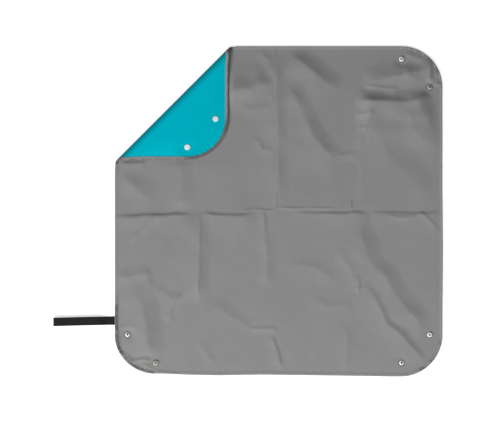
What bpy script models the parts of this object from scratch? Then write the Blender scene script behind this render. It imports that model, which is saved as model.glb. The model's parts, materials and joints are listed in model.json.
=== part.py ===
"""Repotting mat with a grey and a teal face, bound edges, press studs at its corners and a strap loop.

Metres, +Z up, resting on z = 0. The front edge is at -Y and the strap leaves the left edge towards -X.
All the cloth is shaped flat, as it is cut and sewn. The rear left corner is then turned over on two
close fold lines, with a narrow roll of cloth standing between them, and shows its teal side.
The mat also folds in half on the crease that runs across it at y = 0.
"""

import math

import bmesh
import bpy
from mathutils import Matrix, Vector

# Overall sizes of the mat, measured over the binding
mat_width = 0.800
mat_depth = 0.804
corner_radius = 0.100

# Cloth, binding and the gap left between pieces that touch on the real mat
grey_thickness = 0.0005
teal_thickness = 0.0005
binding_thickness = 0.0010
binding_width = 0.008
seat_gap = 0.0003

# Turned corner: where it folds, and the width of the cloth that stands up in the fold
fold_leg = 0.2845
roll_width = 0.010
roll_angle = math.radians(90)
flap_angle = math.radians(93)

# Fold in half: the space that it leaves between the two grey faces
half_fold_space = 0.0034

# Press studs: where they sit, and the moulded pieces
snap_along = 0.100
snap_inset = 0.031
cap_diameter = 0.014
cap_height = 0.0010
cap_edge_radius = 0.0006
pin_diameter = 0.0024
pin_head_diameter = 0.0034
pin_head_height = 0.0005
socket_diameter = 0.0126
socket_collar_diameter = 0.0096
socket_height = 0.0026
stud_diameter = 0.0112
stud_bead_diameter = 0.0055
stud_neck_diameter = 0.0050
stud_bore_diameter = 0.0040
flange_thickness = 0.0008
snap_floor = 0.0007
snap_bite = 0.0001
snap_clearance = 0.0002

# Strap loop of elastic webbing, sewn to the left edge
strap_reach = 0.150
strap_width = 0.020
strap_from_front = 0.134
webbing_thickness = 0.0012
loop_height = 0.0070
tack_length = 0.012
loop_rise_length = 0.032

# Fineness of the round shapes
corner_steps = 14
round_steps = 24
loop_steps = 10
cap_edge_steps = 3
sharp_edge_angle = math.radians(35)

weld_distance = 0.00001

# Heights of the layers, from the table up
underside_z = max(binding_thickness, cap_height) + seat_gap
teal_top_z = underside_z + teal_thickness
grey_low_z = teal_top_z + seat_gap
face_z = grey_low_z + grey_thickness
binding_low_z = underside_z - seat_gap - binding_thickness
binding_top_z = face_z + seat_gap + binding_thickness

# The mat's middle stands off the origin, so that the whole part with its strap is centred on it
mat_middle = Vector((strap_reach / 2, 0, 0))
left_x = mat_middle.x - mat_width / 2
rear_y = mat_depth / 2
front_y = -mat_depth / 2

# A cut that has to pass right through reaches this far
overrun = 2 * mat_width

fold_offset = -fold_leg / math.sqrt(2)
binding_relief = binding_thickness + 2 * seat_gap


for leftover in list(bpy.data.objects):
    bpy.data.objects.remove(leftover)

parts = bpy.data.collections.new("repotting_mat")
cutters = bpy.data.collections.new("cutters")
cutters.hide_render = True
bpy.context.scene.collection.children.link(parts)
bpy.context.scene.collection.children.link(cutters)


def plain_material(name, colour, roughness):
    material = bpy.data.materials.new(name)
    material.use_nodes = True
    shader = material.node_tree.nodes["Principled BSDF"]
    shader.inputs["Base Color"].default_value = (*colour, 1)
    shader.inputs["Roughness"].default_value = roughness
    shader.inputs["Metallic"].default_value = 0
    return material


grey_cloth = plain_material("grey_cloth", (0.26, 0.26, 0.265), 0.85)
teal_cloth = plain_material("teal_cloth", (0.0, 0.40, 0.50), 0.55)
grey_tape = plain_material("grey_tape", (0.22, 0.22, 0.225), 0.80)
black_webbing = plain_material("black_webbing", (0.02, 0.02, 0.022), 0.75)
white_plastic = plain_material("white_plastic", (0.88, 0.88, 0.87), 0.35)


def keep_as_guide(guide):
    cutters.objects.link(guide)
    guide.hide_render = True
    guide.display_type = "WIRE"
    return guide


def applied(shape, collection):
    """A mesh object with the shape that modifiers or curve settings make, welded into one body."""
    bpy.context.view_layer.update()
    evaluated = shape.evaluated_get(bpy.context.evaluated_depsgraph_get())
    mesh = bpy.data.meshes.new_from_object(evaluated)
    welded = bmesh.new()
    welded.from_mesh(mesh)
    bmesh.ops.remove_doubles(welded, verts=welded.verts, dist=weld_distance)
    bmesh.ops.recalc_face_normals(welded, faces=welded.faces)
    welded.to_mesh(mesh)
    welded.free()
    name = shape.name
    matrix = shape.matrix_world.copy()
    bpy.data.objects.remove(shape)
    solid = bpy.data.objects.new(name, mesh)
    solid.matrix_world = matrix
    collection.objects.link(solid)
    return solid


def finish(solid, material):
    solid.data.materials.clear()
    solid.data.materials.append(material)
    solid.data.shade_smooth()
    solid.data.set_sharp_from_angle(angle=sharp_edge_angle)
    return solid


def flat_outline_curve(name, outlines, thickness):
    """A 2D curve of the given thickness, filled inside its first outline and open in the others."""
    curve = bpy.data.curves.new(name, "CURVE")
    curve.dimensions = "2D"
    curve.fill_mode = "BOTH"
    curve.extrude = thickness / 2
    for outline in outlines:
        spline = curve.splines.new("POLY")
        spline.points.add(len(outline) - 1)
        spline.use_cyclic_u = True
        for point, (across, along) in zip(spline.points, outline):
            point.co = (across, along, 0, 1)
    return bpy.data.objects.new(name, curve)


def arc(centre, radius, start, end, steps):
    """Points along an arc, from one angle to the other."""
    angles = [start + (end - start) * step / steps for step in range(steps + 1)]
    return [centre + radius * Vector((math.cos(a), math.sin(a))) for a in angles]


def mat_outline(inset):
    """The mat's outline, drawn in from its outer edge by the inset."""
    radius = corner_radius - inset
    points = []
    for turn, (side_x, side_y) in enumerate(((1, 1), (-1, 1), (-1, -1), (1, -1))):
        middle = Vector((
            side_x * (mat_width / 2 - corner_radius),
            side_y * (mat_depth / 2 - corner_radius),
        ))
        start = math.radians(90) * turn
        points += arc(middle, radius, start, start + math.radians(90), corner_steps)
    return points


def flat_sheet(name, inset, low_z, high_z, holes=()):
    sheet = flat_outline_curve(name, [mat_outline(inset), *holes], high_z - low_z)
    sheet.location = mat_middle + Vector((0, 0, (low_z + high_z) / 2))
    parts.objects.link(sheet)
    return applied(sheet, parts)


def cutting_box(name, low, high, frame=None):
    """A box between two corners, given in the frame of a fold or in the world's."""
    size = high - low
    place = Matrix.Translation((low + high) / 2) @ Matrix.Diagonal((*size, 1))
    cube = bmesh.new()
    bmesh.ops.create_cube(cube, size=1, matrix=(frame or Matrix()) @ place)
    mesh = bpy.data.meshes.new(name)
    cube.to_mesh(mesh)
    cube.free()
    return keep_as_guide(bpy.data.objects.new(name, mesh))


def subtract(solid, *cutting):
    """The solid with the cutting shapes taken away."""
    for tool in cutting:
        cut = solid.modifiers.new(tool.name, "BOOLEAN")
        cut.operation = "DIFFERENCE"
        cut.object = tool
    return applied(solid, parts)


def cut_piece(sheet, name, material, keep, drop=()):
    """The piece of a flat sheet that lies inside one cutting box and outside the others."""
    piece = bpy.data.objects.new(name, sheet.data.copy())
    piece.matrix_world = sheet.matrix_world.copy()
    parts.objects.link(piece)
    kept = piece.modifiers.new(keep.name, "BOOLEAN")
    kept.operation = "INTERSECT"
    kept.object = keep
    return finish(subtract(piece, *drop), material)


# Snap places, on the flat mat. Going clockwise round the mat, each corner has its socket, then its stud
def snap_places():
    """Name of the corner, kind of snap and place, for all eight snaps."""
    places = []
    for end, side_y in (("front", -1), ("rear", 1)):
        for side, side_x in (("left", -1), ("right", 1)):
            by_end = Vector((
                side_x * (mat_width / 2 - snap_along),
                side_y * (mat_depth / 2 - snap_inset),
            ))
            by_side = Vector((
                side_x * (mat_width / 2 - snap_inset),
                side_y * (mat_depth / 2 - snap_along),
            ))
            first, second = (by_end, by_side) if side_x == side_y else (by_side, by_end)
            places.append((f"{end}_{side}", "socket", first))
            places.append((f"{end}_{side}", "stud", second))
    return places


def pin_holes():
    radius = pin_diameter / 2 + seat_gap
    return [
        arc(place, radius, 0, math.tau, round_steps)[:-1]
        for corner, kind, place in snap_places()
    ]


# The two cloths and the binding as they are before the mat is folded
cloth_inset = binding_thickness + seat_gap
flat_grey = flat_sheet("flat_grey_cloth", cloth_inset, grey_low_z, face_z, pin_holes())
flat_teal = flat_sheet("flat_teal_cloth", cloth_inset, underside_z, teal_top_z, pin_holes())


def channel_binding():
    """The binding tape as one ring: a channel that holds the edges of both cloths, open to the inside."""
    ring = flat_sheet("flat_binding", 0, binding_low_z, binding_top_z)
    core = flat_sheet("binding_core", binding_thickness, underside_z - seat_gap, face_z + seat_gap)
    window = flat_sheet(
        "binding_window", binding_width, binding_low_z - overrun, binding_top_z + overrun
    )
    for guide in (core, window):
        parts.objects.unlink(guide)
        keep_as_guide(guide)
    return subtract(ring, core, window)


flat_binding = channel_binding()
for flat in (flat_grey, flat_teal, flat_binding):
    parts.objects.unlink(flat)
    keep_as_guide(flat)

# The frame of the turned corner: X along the fold, Y out towards the corner, from the corner's point
corner_frame = (
    Matrix.Translation((left_x, rear_y, 0)) @ Matrix.Rotation(math.radians(45), 4, "Z")
)


def folding_cutters(name, gap):
    """Boxes for the four panels of the mat, each drawn back from the folds by the gap."""
    first = fold_offset
    second = fold_offset + roll_width
    panels = (
        ("front", -overrun, -seat_gap, None),
        ("rear", seat_gap, overrun, None),
        ("beyond_first_fold", first - gap, overrun, corner_frame),
        ("roll", first + gap, second - gap, corner_frame),
        ("flap", second + gap, overrun, corner_frame),
    )
    return [
        cutting_box(
            f"{name}_{panel}",
            Vector((-overrun, low, -overrun)),
            Vector((overrun, high, overrun)),
            frame,
        )
        for panel, low, high, frame in panels
    ]


def hinge(name, place, heading=0.0):
    """An empty on a fold line, with its X axis along the line."""
    empty = bpy.data.objects.new(name, None)
    empty.empty_display_size = corner_radius
    empty.matrix_world = Matrix.Translation(place) @ Matrix.Rotation(heading, 4, "Z")
    parts.objects.link(empty)
    return empty


def carry(carrier, *carried):
    """Parents objects to a hinge where they stand."""
    bpy.context.view_layer.update()
    for piece in carried:
        piece.parent = carrier
        piece.matrix_parent_inverse = carrier.matrix_world.inverted()


fold_heading = math.radians(45)
half_fold_hinge = hinge("half_fold_hinge", (mat_middle.x, 0, face_z + half_fold_space / 2))
roll_hinge = hinge("roll_hinge", corner_frame @ Vector((0, fold_offset, face_z)), fold_heading)
flap_hinge = hinge(
    "flap_hinge", corner_frame @ Vector((0, fold_offset + roll_width, face_z)), fold_heading
)

# Cloth panels
front, rear, beyond_first, roll, flap = folding_cutters("cloth_cut", seat_gap)
for colour, flat, material in (("grey", flat_grey, grey_cloth), ("teal", flat_teal, teal_cloth)):
    cut_piece(flat, f"front_{colour}_cloth", material, front)
    carry(
        half_fold_hinge,
        cut_piece(flat, f"rear_{colour}_cloth", material, rear, [beyond_first]),
    )
    carry(roll_hinge, cut_piece(flat, f"roll_{colour}_cloth", material, roll))
    carry(flap_hinge, cut_piece(flat, f"corner_{colour}_cloth", material, flap))

# Binding, drawn back from the two fold lines of the corner by its own thickness. The turned corner
# parts the rear half's binding, and the roll's, into a length on the left edge and one on the rear edge
front, rear, beyond_first, roll, flap = folding_cutters("binding_cut", binding_relief)
far_corner = Vector((overrun, overrun, overrun))
left_of_fold = cutting_box("left_of_fold", -far_corner, far_corner * Vector((0, 1, 1)), corner_frame)
right_of_fold = cutting_box("right_of_fold", far_corner * Vector((0, -1, -1)), far_corner, corner_frame)
cut_piece(flat_binding, "front_binding", grey_tape, front)
for side, other_side in (("left", right_of_fold), ("right", left_of_fold)):
    carry(
        half_fold_hinge,
        cut_piece(
            flat_binding, f"rear_{side}_binding", grey_tape, rear, [beyond_first, other_side]
        ),
    )
    carry(
        roll_hinge,
        cut_piece(flat_binding, f"roll_{side}_binding", grey_tape, roll, [other_side]),
    )
carry(flap_hinge, cut_piece(flat_binding, "corner_binding", grey_tape, flap))


def turned(name, profile, closed):
    """A solid turned about Z from (radius, height) points that run down its outer side."""
    mesh = bpy.data.meshes.new(name)
    count = len(profile)
    edges = [(i, (i + 1) % count) for i in range(count if closed else count - 1)]
    mesh.from_pydata([(radius, 0, height) for radius, height in profile], edges, [])
    solid = bpy.data.objects.new(name, mesh)
    screw = solid.modifiers.new("turn", "SCREW")
    screw.steps = round_steps
    screw.render_steps = round_steps
    screw.use_merge_vertices = True
    screw.merge_threshold = weld_distance
    parts.objects.link(solid)
    return applied(solid, parts)


def cap_mesh():
    """Moulded cap on the teal side: a disc with a pin through both cloths, its end flattened to a head."""
    seat = underside_z - seat_gap
    low = seat - cap_height
    rim = cap_diameter / 2
    edge = [
        (rim - cap_edge_radius + point.x, low + cap_edge_radius + point.y)
        for point in arc(Vector((0, 0)), cap_edge_radius, 0, math.radians(-90), cap_edge_steps)
    ]
    head_low = face_z + seat_gap + snap_floor + seat_gap
    profile = [
        (0, head_low + pin_head_height),
        (pin_head_diameter / 2, head_low + pin_head_height),
        (pin_head_diameter / 2, head_low),
        (pin_diameter / 2, head_low),
        (pin_diameter / 2, seat),
        (rim, seat),
        *edge,
        (0, low),
    ]
    return turned("cap", profile, closed=False)


def socket_mesh():
    """Socket on the grey side: a flange, and a collar with a lip that the stud's bead snaps past."""
    base = face_z + seat_gap
    top = base + socket_height
    cavity = stud_bead_diameter / 2 + snap_clearance
    lip = stud_bead_diameter / 2 - snap_bite
    lip_depth = snap_floor / 2
    profile = [
        (lip, top),
        (socket_collar_diameter / 2 - lip_depth, top),
        (socket_collar_diameter / 2, top - lip_depth),
        (socket_collar_diameter / 2, base + flange_thickness),
        (socket_diameter / 2, base + flange_thickness / 2),
        (socket_diameter / 2, base),
        (pin_diameter / 2 + seat_gap, base),
        (pin_diameter / 2 + seat_gap, base + snap_floor),
        (cavity, base + snap_floor),
        (cavity, top - 2 * lip_depth),
        (lip, top - lip_depth),
    ]
    return turned("socket", profile, closed=True)


def stud_mesh():
    """Stud on the grey side: a flange, and a hollow post with a bead that fits the socket's cavity."""
    base = face_z + seat_gap
    post = socket_height - snap_floor - snap_clearance
    flange_top = base + flange_thickness
    top = flange_top + post
    bead_depth = snap_floor / 2
    profile = [
        (stud_bore_diameter / 2, top),
        (stud_neck_diameter / 2, top),
        (stud_bead_diameter / 2, top - bead_depth),
        (stud_neck_diameter / 2, top - 2 * bead_depth),
        (stud_neck_diameter / 2, flange_top),
        (stud_diameter / 2, base + flange_thickness / 2),
        (stud_diameter / 2, base),
        (pin_diameter / 2 + seat_gap, base),
        (pin_diameter / 2 + seat_gap, base + snap_floor),
        (stud_bore_diameter / 2, base + snap_floor),
    ]
    return turned("stud", profile, closed=True)


# Snaps: each socket and stud has its own cap behind the cloth
snap_shapes = {"cap": cap_mesh(), "socket": socket_mesh(), "stud": stud_mesh()}
carriers = {"rear_left": flap_hinge, "rear_right": half_fold_hinge}
for corner, kind, place in snap_places():
    for name, shape in ((f"{corner}_{kind}", kind), (f"{corner}_{kind}_cap", "cap")):
        snap = bpy.data.objects.new(name, snap_shapes[shape].data)
        snap.location = mat_middle + place.to_3d()
        parts.objects.link(finish(snap, white_plastic))
        if corner in carriers:
            carry(carriers[corner], snap)
for shape in snap_shapes.values():
    bpy.data.objects.remove(shape)


def loop_top(distance):
    """Height of the loop's upper face at a distance from its sewn end."""
    share = min(max((distance - tack_length) / loop_rise_length, 0), 1)
    eased = share * share * (3 - 2 * share)
    sewn = 2 * webbing_thickness
    return sewn + (loop_height - sewn) * eased


def strap_outlines():
    """Side view of the strap: the outer line of the folded webbing, and the line of its open inside."""
    radius = loop_height / 2
    end_middle = Vector((strap_reach - radius, radius))
    rise = [tack_length + loop_rise_length * step / loop_steps for step in range(loop_steps + 1)]
    outer = [Vector((seat_gap, 0)), *arc(end_middle, radius, -math.pi / 2, math.pi / 2, loop_steps)]
    outer += [Vector((distance, loop_top(distance))) for distance in reversed(rise)]
    outer.append(Vector((seat_gap, loop_top(0))))
    inner = arc(end_middle, radius - webbing_thickness, -math.pi / 2, math.pi / 2, loop_steps)
    inner += [
        Vector((distance, loop_top(distance) - webbing_thickness)) for distance in reversed(rise)
    ]
    return outer, inner


def strap_loop():
    """A length of elastic webbing folded end to end, its ends tacked together at the mat's edge."""
    strap = flat_outline_curve("strap_loop", strap_outlines(), strap_width)
    stand_up = Matrix.Rotation(math.radians(90), 4, "X") @ Matrix.Scale(-1, 4, Vector((1, 0, 0)))
    edge = Matrix.Translation((left_x, front_y + strap_from_front, 0))
    parts.objects.link(strap)
    loop = applied(strap, parts)
    loop.data.transform(edge @ stand_up)
    loop.data.flip_normals()
    return finish(loop, black_webbing)


strap_hinge = hinge(
    "strap_hinge",
    (left_x - seat_gap, front_y + strap_from_front, (loop_height + face_z + seat_gap) / 2),
    math.radians(90),
)
carry(strap_hinge, strap_loop())

# The corner is turned over: the flap rides on the roll, and the roll on the rear half
carry(roll_hinge, flap_hinge)
carry(half_fold_hinge, roll_hinge)
roll_hinge.rotation_euler.x = roll_angle
flap_hinge.rotation_euler.x = flap_angle
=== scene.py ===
import json
import math

import bpy
import numpy as np
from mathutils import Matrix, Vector, noise


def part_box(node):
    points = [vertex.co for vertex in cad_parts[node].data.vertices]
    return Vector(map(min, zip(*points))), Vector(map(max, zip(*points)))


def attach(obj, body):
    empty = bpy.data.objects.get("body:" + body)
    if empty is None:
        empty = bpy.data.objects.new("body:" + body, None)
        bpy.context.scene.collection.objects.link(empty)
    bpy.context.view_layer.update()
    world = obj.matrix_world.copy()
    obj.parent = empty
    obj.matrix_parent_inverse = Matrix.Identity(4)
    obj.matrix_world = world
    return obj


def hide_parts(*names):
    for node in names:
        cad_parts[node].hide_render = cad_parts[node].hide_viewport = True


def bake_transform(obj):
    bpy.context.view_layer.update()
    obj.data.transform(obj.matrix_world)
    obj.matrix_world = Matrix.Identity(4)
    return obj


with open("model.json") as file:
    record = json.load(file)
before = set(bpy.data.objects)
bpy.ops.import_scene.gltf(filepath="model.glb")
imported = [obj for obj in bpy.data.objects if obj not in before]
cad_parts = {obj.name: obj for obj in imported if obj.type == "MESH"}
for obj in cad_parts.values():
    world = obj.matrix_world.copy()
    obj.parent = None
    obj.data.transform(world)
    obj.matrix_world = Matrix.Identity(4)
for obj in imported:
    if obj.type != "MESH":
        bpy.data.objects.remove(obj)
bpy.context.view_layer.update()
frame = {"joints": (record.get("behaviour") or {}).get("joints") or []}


# Camera
# The mat is seen from straight above, with its rear edge up and the strap at the left.
# Perspective is slight, because the camera hangs high over the table.
camera_height = 6.0
seen_width = 1.2214
seen_middle = (0.00525, -0.0014)
camera = bpy.data.objects.new("camera", bpy.data.cameras.new("camera"))
camera.location = (*seen_middle, camera_height)
camera.data.lens = camera.data.sensor_width * camera_height / seen_width
bpy.context.collection.objects.link(camera)
bpy.context.scene.camera = camera


# Grey face cloth
# One square of plain-woven polyester with rounded corners: the side that lies up. It was kept folded
# small, so it has a valley crease across the middle, sharp upright creases and long soft wrinkles.
# This piece is all of it but the turned corner, and its edge is sewn into the binding.
joints = {joint["name"]: joint for joint in frame["joints"]}
front_low, front_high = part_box("front_grey_cloth")
mat_left, mat_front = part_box("front_binding")[0].xy
mat_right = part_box("front_binding")[1].x
mat_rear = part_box("rear_right_binding")[1].y
mat_middle = np.array(((mat_left + mat_right) / 2, (mat_front + mat_rear) / 2))
mat_half = np.array(((mat_right - mat_left) / 2, (mat_rear - mat_front) / 2))
face_z = front_high.z
cloth_inset = front_low.x - mat_left
lowest_z = 0.0001
corner_radius = 0.100

fold_place = np.array(joints["corner_fold"]["pos_m"][:2])
to_corner = np.array((-1, 1)) / math.sqrt(2)
along_fold = np.array((1, 1)) / math.sqrt(2)
turned_leg = 2 * (fold_place[0] - mat_left)
roll_seam = -0.010

# Where the snaps pass through the flat cloth. The turned corner's pair mirrors the rear right one
snap_places = {
    name: np.array(sum((Vector(corner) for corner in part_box(name)), Vector()).xy) / 2
    for name in (
        "front_left_socket", "front_left_stud", "front_right_socket", "front_right_stud",
        "rear_right_socket", "rear_right_stud",
    )
}
mirror = np.array((-1, 1))
snap_places["rear_left_stud"] = mat_middle + mirror * (snap_places["rear_right_socket"] - mat_middle)
snap_places["rear_left_socket"] = mat_middle + mirror * (snap_places["rear_right_stud"] - mat_middle)

# Each wrinkle: how high its crest stands, how wide its steep and its gentle side are, and the line of
# its crest, with the steep side on the left of the line
wrinkles = (
    # Rear half, right of its upright crease
    (0.0038, 0.034, 0.110, (0.098, 0.388), (0.142, 0.354), (0.181, 0.320), (0.228, 0.290)),
    (0.0030, 0.030, 0.085, (0.080, 0.322), (0.117, 0.276), (0.137, 0.232), (0.159, 0.183), (0.203, 0.134),
     (0.228, 0.110)),
    (0.0007, 0.007, 0.015, (0.213, 0.134), (0.267, 0.139)),
    # Band to the rear right snaps, and the rays at that corner
    (0.0068, 0.027, 0.100, (0.258, 0.271), (0.323, 0.269), (0.372, 0.266), (0.411, 0.269), (0.450, 0.288)),
    (0.0034, 0.036, 0.034, (0.279, 0.306), (0.335, 0.327), (0.384, 0.332), (0.440, 0.315)),
    (0.0013, 0.008, 0.014, (0.280, 0.306), (0.323, 0.301), (0.376, 0.295)),
    (0.0020, 0.012, 0.016, (0.381, 0.386), (0.411, 0.377), (0.452, 0.360)),
    (0.0021, 0.021, 0.018, (0.372, 0.337), (0.418, 0.341), (0.445, 0.352), (0.463, 0.367)),
    (0.0036, 0.013, 0.022, (0.446, 0.372), (0.446, 0.332), (0.441, 0.296)),
    (0.0012, 0.007, 0.007, (0.458, 0.358), (0.461, 0.325), (0.464, 0.300)),
    (0.0022, 0.007, 0.009, (0.441, 0.306), (0.456, 0.309), (0.474, 0.312)),
    # From the band down to the middle crease
    (0.0019, 0.050, 0.070, (0.284, 0.240), (0.318, 0.176), (0.352, 0.130), (0.411, 0.066), (0.450, 0.016)),
    (0.0026, 0.060, 0.050, (0.392, 0.256), (0.403, 0.203), (0.430, 0.171), (0.486, 0.156)),
    (0.0010, 0.009, 0.024, (0.310, 0.255), (0.291, 0.217), (0.279, 0.183), (0.271, 0.143)),
    (0.0009, 0.010, 0.010, (0.262, 0.232), (0.289, 0.237), (0.308, 0.244)),
    (0.0007, 0.008, 0.010, (0.266, 0.202), (0.294, 0.206)),
    (-0.0016, 0.024, 0.044, (0.235, 0.127), (0.254, 0.100), (0.254, 0.051), (0.254, 0.004)),
    # Upright crease of the rear half
    (0.0022, 0.024, 0.050, (0.071, 0.402), (0.071, 0.344), (0.069, 0.283), (0.074, 0.222), (0.074, 0.124),
     (0.076, 0.051), (0.069, 0.008)),
    (0.0005, 0.004, 0.007, (0.068, 0.045), (0.068, 0.000)),
    (0.0007, 0.004, 0.008, (0.0676, 0.398), (0.0670, 0.370)),
    (0.0006, 0.004, 0.008, (0.056, 0.292), (0.062, 0.270), (0.064, 0.250)),
    # Creases of the front half
    (0.0027, 0.028, 0.060, (-0.119, 0.003), (-0.119, -0.095), (-0.122, -0.181), (-0.117, -0.232)),
    (0.0004, 0.004, 0.014, (-0.117, 0.001), (-0.117, -0.100), (-0.120, -0.181), (-0.118, -0.236)),
    (0.0012, 0.024, 0.050, (-0.125, -0.222), (-0.073, -0.237), (-0.029, -0.266), (0.015, -0.295)),
    (0.0008, 0.007, 0.012, (-0.005, -0.288), (0.078, -0.288)),
    (0.0011, 0.008, 0.020, (0.056, -0.300), (0.071, -0.340), (0.081, -0.392)),
    (0.0011, 0.009, 0.015, (0.037, 0.004), (0.042, -0.063)),
    (0.0015, 0.024, 0.020, (0.043, -0.045), (0.047, -0.120), (0.044, -0.190)),
    # Front half, from its middle to the right
    (0.0026, 0.034, 0.072, (0.276, 0.006), (0.276, -0.059), (0.291, -0.110), (0.306, -0.139),
     (0.337, -0.159), (0.355, -0.198), (0.386, -0.240), (0.413, -0.266), (0.427, -0.300), (0.430, -0.324)),
    (0.0020, 0.016, 0.045, (0.282, -0.172), (0.318, -0.230), (0.342, -0.279), (0.372, -0.301),
     (0.403, -0.337), (0.446, -0.378)),
    (0.0008, 0.022, 0.022, (0.215, -0.088), (0.250, -0.139), (0.268, -0.198)),
    (0.0008, 0.022, 0.024, (0.090, -0.155), (0.127, -0.135), (0.166, -0.139), (0.222, -0.175)),
    (0.0007, 0.020, 0.020, (0.150, -0.215), (0.201, -0.235), (0.260, -0.230)),
    # Left end of the rear half
    (0.0018, 0.040, 0.034, (-0.326, 0.112), (-0.293, 0.076), (-0.256, 0.039), (-0.220, 0.024)),
    (0.0018, 0.034, 0.040, (-0.166, 0.134), (-0.163, 0.063), (-0.158, 0.002)),
    # Front left, down to its snaps and its hem
    (0.0009, 0.006, 0.012, (-0.292, -0.079), (-0.261, -0.047), (-0.226, -0.009)),
    (0.0018, 0.024, 0.050, (-0.330, -0.161), (-0.281, -0.161), (-0.230, -0.149)),
    (0.0032, 0.038, 0.050, (-0.284, -0.172), (-0.256, -0.237), (-0.246, -0.303), (-0.238, -0.372)),
    (0.0007, 0.016, 0.030, (-0.255, -0.172), (-0.210, -0.198), (-0.172, -0.226)),
    (0.0012, 0.013, 0.018, (-0.161, -0.198), (-0.185, -0.232), (-0.199, -0.274)),
    (0.0018, 0.010, 0.010, (-0.300, -0.378), (-0.263, -0.367), (-0.232, -0.369)),
    (0.0016, 0.008, 0.010, (-0.262, -0.377), (-0.234, -0.386), (-0.210, -0.400)),
    (0.0008, 0.007, 0.010, (-0.322, -0.286), (-0.280, -0.284)),
    (0.0050, 0.010, 0.005, (-0.3225, -0.276), (-0.3222, -0.305), (-0.3170, -0.335), (-0.3030, -0.362)),
    (0.0020, 0.008, 0.005, (-0.3225, -0.200), (-0.3225, -0.290)),
    (0.0024, 0.010, 0.007, (-0.308, -0.345), (-0.297, -0.360), (-0.280, -0.376)),
    # Small sharp marks at the right
    (0.0006, 0.006, 0.008, (0.267, -0.156), (0.272, -0.180), (0.271, -0.204)),
    (0.0005, 0.005, 0.007, (0.262, -0.189), (0.294, -0.186)),
    (0.0007, 0.004, 0.014, (0.2525, 0.056), (0.2520, 0.024), (0.2535, -0.006)),
    # Ridges along the middle crease
    (0.0017, 0.0120, 0.040, (-0.355, -0.0165), (-0.250, -0.0145), (-0.170, -0.0130), (-0.128, -0.007)),
    (0.0017, 0.0100, 0.035, (-0.116, -0.004), (-0.085, -0.0120), (-0.050, -0.0145), (-0.015, -0.0125),
     (0.020, -0.004)),
    (0.0012, 0.0092, 0.035, (0.105, -0.0055), (0.160, -0.0070), (0.220, -0.0078), (0.298, -0.0070)),
    (0.0008, 0.0090, 0.030, (0.292, -0.0055), (0.330, -0.0080), (0.400, -0.0075), (0.500, -0.0070)),
    (0.0010, 0.0075, 0.014, (0.330, -0.010), (0.362, -0.0165), (0.388, -0.0165), (0.412, -0.008)),
    (0.0007, 0.0040, 0.009, (0.055, 0.0072), (0.140, 0.0076), (0.222, 0.0072)),
    (0.0008, 0.0050, 0.008, (-0.022, 0.0012), (0.030, 0.0030), (0.072, 0.0020)),
    # Rear half, beside the turned corner
    (0.0046, 0.058, 0.040, (-0.120, 0.286), (-0.040, 0.292), (0.005, 0.300), (0.062, 0.322)),
    (0.0009, 0.020, 0.018, (0.020, 0.398), (0.049, 0.369), (0.066, 0.325)),
    (0.0009, 0.020, 0.020, (-0.026, 0.251), (0.020, 0.247), (0.066, 0.257)),
    (0.0009, 0.012, 0.014, (0.016, 0.179), (0.035, 0.151), (0.063, 0.149)),
    # Single ones: by the right edge, by the front edge, under the turned corner, and at the front right
    (0.0009, 0.007, 0.020, (0.416, 0.002), (0.445, -0.025), (0.475, -0.055)),
    (0.0007, 0.016, 0.016, (-0.131, -0.324), (-0.105, -0.340), (-0.082, -0.375)),
    (0.0026, 0.008, 0.022, (-0.318, 0.1175), (-0.290, 0.1195), (-0.270, 0.1205), (-0.245, 0.1210)),
    (0.0008, 0.016, 0.020, (0.239, -0.272), (0.242, -0.328), (0.240, -0.396)),
)
wrinkle_scale = 1.6
gentle_stretch = 1.4
steep_power = 1.4
gentle_power = 2.0
wrinkle_ends_share = 0.22
crest_softness_share = 0.10
wander_reach = 0.0028
wander_size = 0.032
wander_seeds = (3.3, 8.8)
uneven_share = 0.45
uneven_size = 0.045
uneven_seed = 6.6

# Soft swells of the whole cloth: how high, how wide, and the seed of each
swells = ((0.0010, 0.080, 1.7), (0.0003, 0.028, 5.1))
gather_height = 0.0009
gather_patch_size = 0.030

# The valley crease across the middle: its line, and how deep each stretch is as a share of the deepest
crease_line = (
    (-0.325, -0.0087), (-0.250, -0.0070), (-0.141, -0.0045), (-0.128, 0.0005), (-0.113, -0.0005),
    (-0.090, -0.0050), (-0.060, -0.0075), (-0.020, -0.0060), (0.005, -0.0020), (0.030, 0.0010),
    (0.068, 0.0020), (0.090, 0.0000), (0.286, -0.0007), (0.475, -0.0010),
)
crease_depth = 0.0017
crease_depth_shares = (
    (-0.320, 1.3), (-0.290, 0.9), (-0.270, 1.0), (-0.170, 1.1), (-0.150, 0.8), (-0.130, 0.4),
    (-0.115, 0.5), (-0.080, 0.9), (-0.030, 0.9), (0.000, 0.45), (0.030, 0.2), (0.060, 0.35), (0.100, 0.2),
    (0.130, 0.3), (0.160, 0.6), (0.210, 1.0), (0.270, 1.0), (0.286, 0.6), (0.297, 0.2), (0.310, 0.7),
    (0.330, 0.9), (0.380, 0.7), (0.460, 0.5),
)
crease_near_width = 0.0068
crease_far_width = 0.030
crease_rear_share = 0.30

# Where the cloth lies closer to flat: by the hem, round the snaps, by the roll and beside the corner
hem_share = 0.35
hem_reach = 0.035
snap_hold = 0.008
snap_reach = 0.020
wrinkle_snap_reach = 0.016
roll_reach = 0.015
corner_side_start = 0.008
corner_side_width = 0.014
deepest_hollow = 0.0010
hollow_reach = 0.030

# How far the front edge and the right edge lie from straight
front_edge_drift = (
    (-0.26, 0.0040), (-0.21, 0.0044), (-0.15, 0.0017), (-0.07, 0.0), (0.03, 0.0019), (0.10, 0.0010),
    (0.18, 0.0), (0.29, -0.0015), (0.36, -0.0027), (0.42, -0.0018),
)
right_edge_drift = ((-0.25, 0.0), (-0.09, 0.0012), (0.05, 0.0))
edge_drift_reach = 0.090


def eased(share):
    """A share from 0 to 1 that starts and ends gently."""
    share = np.clip(share, 0, 1)
    return share * share * (3 - 2 * share)


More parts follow.
